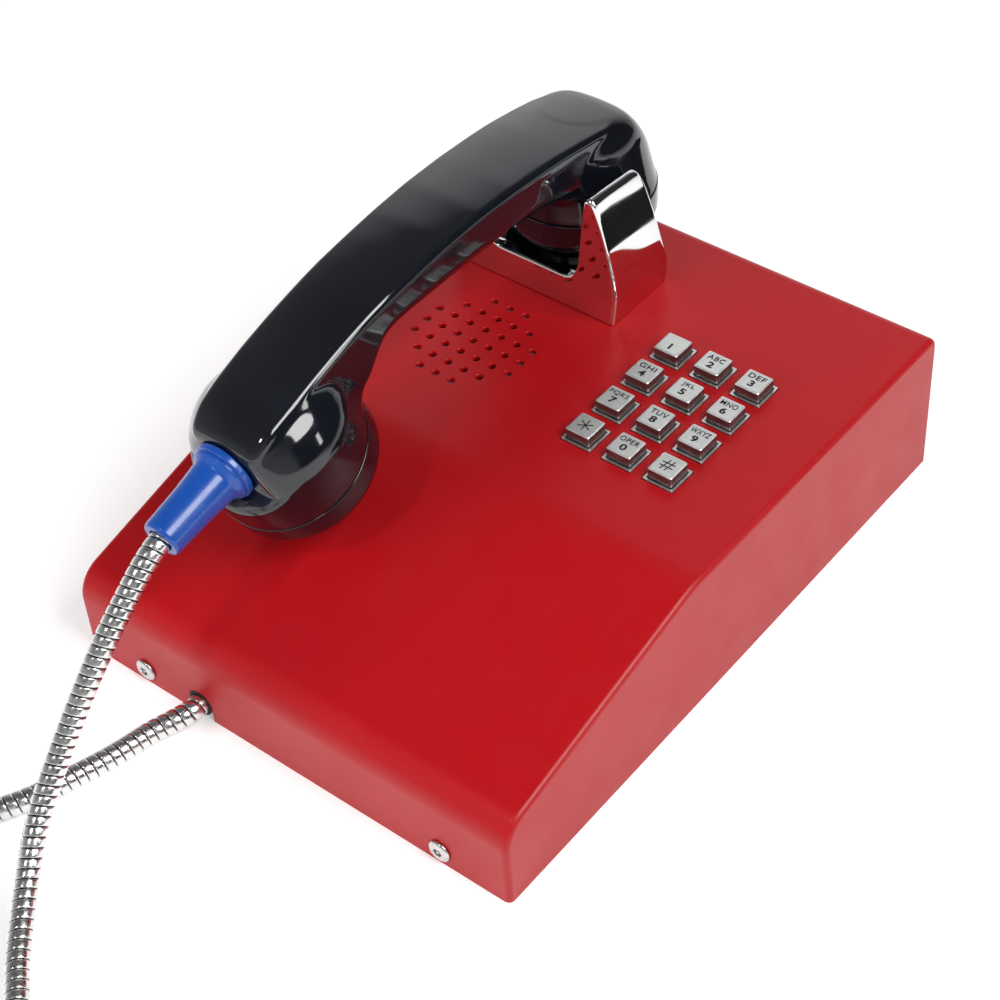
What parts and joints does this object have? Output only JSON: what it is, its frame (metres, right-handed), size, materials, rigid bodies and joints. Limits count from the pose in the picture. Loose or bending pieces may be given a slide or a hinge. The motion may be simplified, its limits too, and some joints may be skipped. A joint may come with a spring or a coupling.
{
  "type": "armoured-cord wall telephone",
  "caption": "Wedge-shaped steel telephone with a raised metal keypad, speaker holes, a chrome cradle, and a black handset on an armoured cord.",
  "frame": {"origin": "centre of the back plate's rear face, on which the telephone lies", "axes": "+Z out of the front, +Y towards the high end that carries the cradle, +X towards the keypad's side"},
  "size_m": [0.2377, 0.6002, 0.148],
  "materials": {
    "red_powder_coat": "fine textured powder coat",
    "chrome_plate": "polished chrome plate on cast zinc",
    "bezel_metal": "satin plated zinc",
    "key_metal": "satin plated zinc, digits filled black",
    "steel": "zinc plated",
    "hose_steel": "bright stainless strip",
    "black_plastic": "polished moulded plastic",
    "inner_plastic": "moulded, matt",
    "blue_boot": "glossy moulded elastomer",
    "dark_rubber": "moulded rubber",
    "grey_rubber": "silicone",
    "board_green": "glass epoxy with solder mask"
  },
  "bodies": {
    "housing": {"housing_cover": "red_powder_coat", "faceplate": "red_powder_coat", "housing_end": "red_powder_coat", "side_panel_left": "red_powder_coat", "side_panel_right": "red_powder_coat", "back_plate": "steel", "security_screw_1": "steel", "security_screw_2": "steel", "security_screw_3": "steel", "security_screw_4": "steel", "keypad_bezel": "bezel_metal", "keypad_mat": "grey_rubber", "keypad_board": "board_green", "keypad_stud_1": "steel", "keypad_stud_2": "steel", "keypad_stud_3": "steel", "keypad_stud_4": "steel", "cradle": "chrome_plate", "cradle_screw_left": "steel", "cradle_screw_right": "steel", "hook_bracket": "steel", "hook_switch": "inner_plastic", "hook_spring": "steel", "armoured_cord": "hose_steel", "cord_grommet": "dark_rubber", "cord_anchor": "steel", "loudspeaker": "inner_plastic", "speaker_gasket": "grey_rubber", "speaker_clamp": "steel", "speaker_stud_1": "steel", "speaker_stud_2": "steel", "main_board": "board_green", "board_post_1": "inner_plastic", "board_post_2": "inner_plastic", "board_post_3": "inner_plastic", "board_post_4": "inner_plastic", "line_transformer": "inner_plastic", "terminal_block": "board_green", "keypad_cable": "grey_rubber", "speaker_cable": "dark_rubber", "handset_leads": "grey_rubber"},
    "handset": {"handset_shell": "black_plastic", "earpiece_cap": "black_plastic", "mouthpiece_cap": "black_plastic", "receiver_capsule": "inner_plastic", "microphone_capsule": "inner_plastic", "cord_boot": "blue_boot"},
    "hook": {"hook_plunger": "steel"},
    "key_1_body": {"key_1": "key_metal"},
    "key_2_body": {"key_2": "key_metal"},
    "key_3_body": {"key_3": "key_metal"},
    "key_4_body": {"key_4": "key_metal"},
    "key_5_body": {"key_5": "key_metal"},
    "key_6_body": {"key_6": "key_metal"},
    "key_7_body": {"key_7": "key_metal"},
    "key_8_body": {"key_8": "key_metal"},
    "key_9_body": {"key_9": "key_metal"},
    "key_star_body": {"key_star": "key_metal"},
    "key_0_body": {"key_0": "key_metal"},
    "key_hash_body": {"key_hash": "key_metal"}
  },
  "joints": [
    {"name": "handset_lift", "type": "slide", "parent": "housing", "child": "handset", "axis": [0, 0.9659, 0.2588], "range_m": [0, 0.06]},
    {"name": "hook_travel", "type": "slide", "parent": "housing", "child": "hook", "axis": [0, 0, 1], "range_m": [0, 0.005], "stiffness_N_per_m": 60, "springref_m": 0.008, "deforming": ["hook_spring"]},
    {"name": "key_1_press", "type": "slide", "parent": "housing", "child": "key_1_body", "axis": [0, 0, -1], "range_m": [0, 0.0015], "stiffness_N_per_m": 400, "springref_m": -0.0008},
    {"name": "key_2_press", "type": "slide", "parent": "housing", "child": "key_2_body", "axis": [0, 0, -1], "range_m": [0, 0.0015], "stiffness_N_per_m": 400, "springref_m": -0.0008},
    {"name": "key_3_press", "type": "slide", "parent": "housing", "child": "key_3_body", "axis": [0, 0, -1], "range_m": [0, 0.0015], "stiffness_N_per_m": 400, "springref_m": -0.0008},
    {"name": "key_4_press", "type": "slide", "parent": "housing", "child": "key_4_body", "axis": [0, 0, -1], "range_m": [0, 0.0015], "stiffness_N_per_m": 400, "springref_m": -0.0008},
    {"name": "key_5_press", "type": "slide", "parent": "housing", "child": "key_5_body", "axis": [0, 0, -1], "range_m": [0, 0.0015], "stiffness_N_per_m": 400, "springref_m": -0.0008},
    {"name": "key_6_press", "type": "slide", "parent": "housing", "child": "key_6_body", "axis": [0, 0, -1], "range_m": [0, 0.0015], "stiffness_N_per_m": 400, "springref_m": -0.0008},
    {"name": "key_7_press", "type": "slide", "parent": "housing", "child": "key_7_body", "axis": [0, 0, -1], "range_m": [0, 0.0015], "stiffness_N_per_m": 400, "springref_m": -0.0008},
    {"name": "key_8_press", "type": "slide", "parent": "housing", "child": "key_8_body", "axis": [0, 0, -1], "range_m": [0, 0.0015], "stiffness_N_per_m": 400, "springref_m": -0.0008},
    {"name": "key_9_press", "type": "slide", "parent": "housing", "child": "key_9_body", "axis": [0, 0, -1], "range_m": [0, 0.0015], "stiffness_N_per_m": 400, "springref_m": -0.0008},
    {"name": "key_star_press", "type": "slide", "parent": "housing", "child": "key_star_body", "axis": [0, 0, -1], "range_m": [0, 0.0015], "stiffness_N_per_m": 400, "springref_m": -0.0008},
    {"name": "key_0_press", "type": "slide", "parent": "housing", "child": "key_0_body", "axis": [0, 0, -1], "range_m": [0, 0.0015], "stiffness_N_per_m": 400, "springref_m": -0.0008},
    {"name": "key_hash_press", "type": "slide", "parent": "housing", "child": "key_hash_body", "axis": [0, 0, -1], "range_m": [0, 0.0015], "stiffness_N_per_m": 400, "springref_m": -0.0008}
  ],
  "couplings": [
    {"joint": "hook_travel", "follows": "handset_lift", "ratio": 0.0833}
  ]
}
